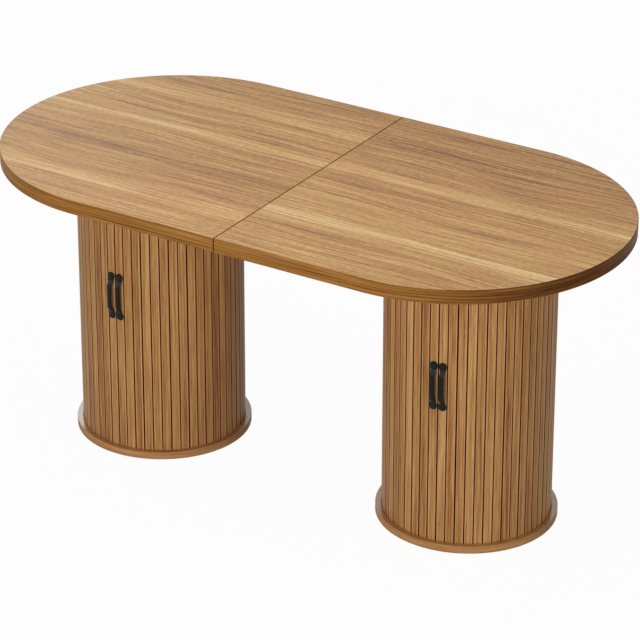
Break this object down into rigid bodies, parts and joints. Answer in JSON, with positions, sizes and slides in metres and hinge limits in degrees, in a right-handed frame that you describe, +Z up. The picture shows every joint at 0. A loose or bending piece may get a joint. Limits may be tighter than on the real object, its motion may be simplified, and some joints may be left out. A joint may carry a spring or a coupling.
{
  "type": "kitchen table with storage cabinet",
  "caption": "Oval kitchen table with a seamed top on drum pedestals, each a storage cabinet with a shelf behind sliding tambour doors with black bow handles.",
  "frame": {"origin": "on the floor, under the middle of the table top", "axes": "+X along the table, -Y to the side that the cabinets open to, +Z up"},
  "size_m": [1.5998, 0.828, 0.76],
  "materials": {
    "top_laminate": "satin oak-look laminate, grain along the table",
    "edge_banding": "satin oak-look edge band, a little darker",
    "disc_laminate": "satin oak-look laminate",
    "carcass_board": "satin oak-look melamine board",
    "slat_wood": "satin varnished slats, grain upright",
    "raw_wood": "plain unvarnished wood",
    "backing_canvas": "plain woven brown canvas",
    "handle_black": "satin black",
    "plate_steel": "zinc-plated steel",
    "glide_felt": "dense brown felt"
  },
  "bodies": {
    "carcass": {"edge_band_left": "edge_banding", "edge_band_right": "edge_banding", "left_drum_back_cloth": "backing_canvas", "left_drum_back_panel": "carcass_board", "left_drum_back_slats": "slat_wood", "left_drum_base_disc": "disc_laminate", "left_drum_door_stop": "raw_wood", "left_drum_glides": "glide_felt", "left_drum_shelf": "carcass_board", "left_drum_shelf_cleats": "raw_wood", "left_drum_top_disc": "disc_laminate", "left_drum_upright_left": "carcass_board", "left_drum_upright_right": "carcass_board", "right_drum_back_cloth": "backing_canvas", "right_drum_back_panel": "carcass_board", "right_drum_back_slats": "slat_wood", "right_drum_base_disc": "disc_laminate", "right_drum_door_stop": "raw_wood", "right_drum_glides": "glide_felt", "right_drum_shelf": "carcass_board", "right_drum_shelf_cleats": "raw_wood", "right_drum_top_disc": "disc_laminate", "right_drum_upright_left": "carcass_board", "right_drum_upright_right": "carcass_board", "seam_plates": "plate_steel", "seam_tongue": "raw_wood", "top_board_left": "top_laminate", "top_board_right": "top_laminate"},
    "left_drum_left_door": {"left_drum_left_door_cloth": "backing_canvas", "left_drum_left_door_handle": "handle_black", "left_drum_left_door_slats": "slat_wood"},
    "left_drum_right_door": {"left_drum_right_door_cloth": "backing_canvas", "left_drum_right_door_handle": "handle_black", "left_drum_right_door_slats": "slat_wood"},
    "right_drum_left_door": {"right_drum_left_door_cloth": "backing_canvas", "right_drum_left_door_handle": "handle_black", "right_drum_left_door_slats": "slat_wood"},
    "right_drum_right_door": {"right_drum_right_door_cloth": "backing_canvas", "right_drum_right_door_handle": "handle_black", "right_drum_right_door_slats": "slat_wood"}
  },
  "joints": [
    {"name": "left_drum_left_door_slide_round", "type": "hinge", "parent": "carcass", "child": "left_drum_left_door", "pos_m": [-0.43, 0, 0], "axis": [0, 0, 1], "range_deg": [-51.5, 0]},
    {"name": "left_drum_right_door_slide_round", "type": "hinge", "parent": "carcass", "child": "left_drum_right_door", "pos_m": [-0.43, 0, 0], "axis": [0, 0, 1], "range_deg": [0, 48.5]},
    {"name": "right_drum_left_door_slide_round", "type": "hinge", "parent": "carcass", "child": "right_drum_left_door", "pos_m": [0.43, 0, 0], "axis": [0, 0, 1], "range_deg": [-59, 0]},
    {"name": "right_drum_right_door_slide_round", "type": "hinge", "parent": "carcass", "child": "right_drum_right_door", "pos_m": [0.43, 0, 0], "axis": [0, 0, 1], "range_deg": [0, 41]}
  ]
}
